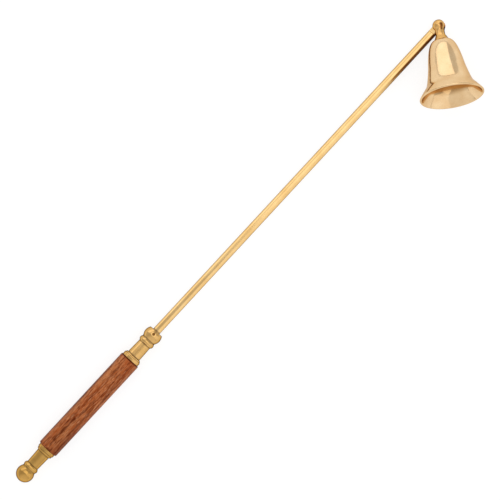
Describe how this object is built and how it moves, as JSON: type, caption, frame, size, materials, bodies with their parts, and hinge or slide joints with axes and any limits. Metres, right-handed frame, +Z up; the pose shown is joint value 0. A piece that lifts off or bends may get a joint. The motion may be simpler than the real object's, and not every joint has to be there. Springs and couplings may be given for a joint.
{
  "type": "candle snuffer",
  "caption": "Long-handled candle snuffer: a brass bell hinged on a fork at the end of a round brass rod, with a turned brass and hardwood handle.",
  "frame": {"origin": "the middle of the wooden grip, on its axis", "axes": "+X along the rod from the grip to the bell's hinge; +Z up as the snuffer lies on a table with its bell on its side; the bell lies to the -Y side"},
  "size_m": [0.3436, 0.0495, 0.0368],
  "materials": {
    "bell_brass": "polished, with fine turning marks",
    "rod_brass": "polished along the rod",
    "fitting_brass": "satin turned",
    "pin_brass": "peened and polished flush",
    "grip_wood": "oiled open-grained hardwood",
    "tie_rod_steel": "plain"
  },
  "bodies": {
    "handle": {"grip": "grip_wood", "ferrule": "fitting_brass", "pommel": "fitting_brass", "tie_rod": "tie_rod_steel", "stem": "rod_brass", "stem_pin": "pin_brass"},
    "bell": {"bell": "bell_brass", "fork_stud": "bell_brass", "hinge_pin": "pin_brass"}
  },
  "joints": [
    {"name": "bell_swing", "type": "hinge", "parent": "handle", "child": "bell", "pos_m": [0.2835, 0, 0], "axis": [0, 0.3979, 0.9174], "range_deg": [-7.5, 258.5]}
  ]
}
